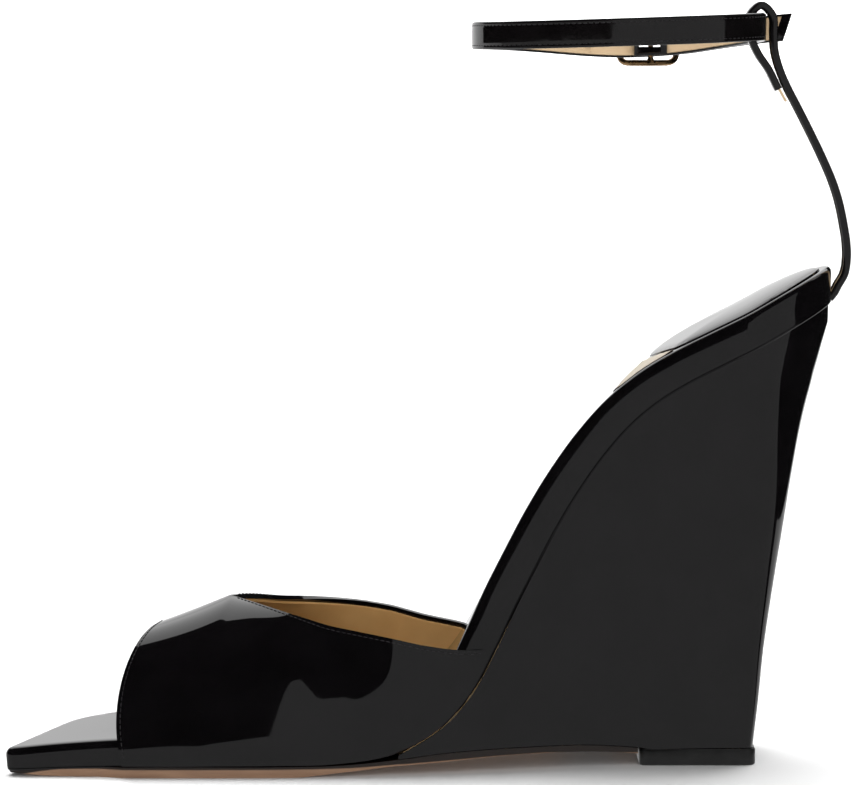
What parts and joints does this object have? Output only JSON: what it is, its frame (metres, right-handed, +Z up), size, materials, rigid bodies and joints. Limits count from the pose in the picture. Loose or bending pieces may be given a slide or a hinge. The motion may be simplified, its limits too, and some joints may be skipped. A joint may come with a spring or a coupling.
{
  "type": "wedge sandal",
  "caption": "Open-toe wedge sandal for the right foot with a wide vamp band, high covered wedge and buckled ankle strap held by a looped riser.",
  "frame": {"origin": "on the floor, under the middle of the sandal's bounding box", "axes": "+X runs from the toe to the heel, +Y points to the outer side of the right foot, +Z is up"},
  "size_m": [0.2136, 0.0763, 0.1931],
  "materials": {
    "patent_leather": "black patent, high gloss",
    "tan_leather": "smooth matt lining leather",
    "sole_leather": "natural, lightly polished edge",
    "latex_foam": "open-cell foam",
    "fibreboard": "pressed cellulose board",
    "cork": "granulated cork sheet",
    "steel": "plain steel",
    "light_wood": "sanded block",
    "lift_rubber": "matt moulded",
    "old_gold_metal": "aged gold plating"
  },
  "bodies": {
    "shoe": {"outsole": "sole_leather", "insole_wrap": "patent_leather", "insole_cushion": "latex_foam", "insole_board": "fibreboard", "forefoot_filler": "cork", "shank_board": "fibreboard", "shank": "steel", "shank_rivet_front": "steel", "shank_rivet_rear": "steel", "heel_screw": "steel", "heel_nail_1": "steel", "heel_nail_2": "steel", "heel_nail_3": "steel", "heel_nail_4": "steel", "heel_pad_foam": "latex_foam", "heel_pad_skin": "patent_leather", "sock_panel": "tan_leather", "wedge_core": "light_wood", "wedge_cover": "patent_leather", "top_lift": "lift_rubber", "lift_pin_front": "steel", "lift_pin_rear": "steel", "vamp_outer": "patent_leather", "vamp_lining": "tan_leather", "riser_anchor": "patent_leather"},
    "riser": {"riser_strap": "patent_leather", "riser_lining": "tan_leather"},
    "ankle_strap": {"ankle_strap_outer": "patent_leather", "ankle_strap_lining": "tan_leather", "buckle_chape": "patent_leather"},
    "buckle": {"buckle_frame": "old_gold_metal"},
    "prong": {"buckle_prong": "old_gold_metal"}
  },
  "joints": [
    {"name": "riser_flex", "type": "hinge", "parent": "shoe", "child": "riser", "pos_m": [0.10362, 0.00106, 0.121], "axis": [0, 1, 0], "range_deg": [-8, 40], "stiffness_Nm_per_rad": 0.3},
    {"name": "strap_tilt", "type": "hinge", "parent": "riser", "child": "ankle_strap", "pos_m": [0.08392, 0.00106, 0.18647], "axis": [0, 1, 0], "range_deg": [-8, 4]},
    {"name": "buckle_swing", "type": "hinge", "parent": "ankle_strap", "child": "buckle", "pos_m": [0.05695, 0.02895, 0.18208], "axis": [0, 0, 1], "range_deg": [-4, 4]},
    {"name": "prong_lift", "type": "hinge", "parent": "buckle", "child": "prong", "pos_m": [0.05695, 0.02895, 0.18208], "axis": [0, 0, -1], "range_deg": [0, 80]}
  ]
}
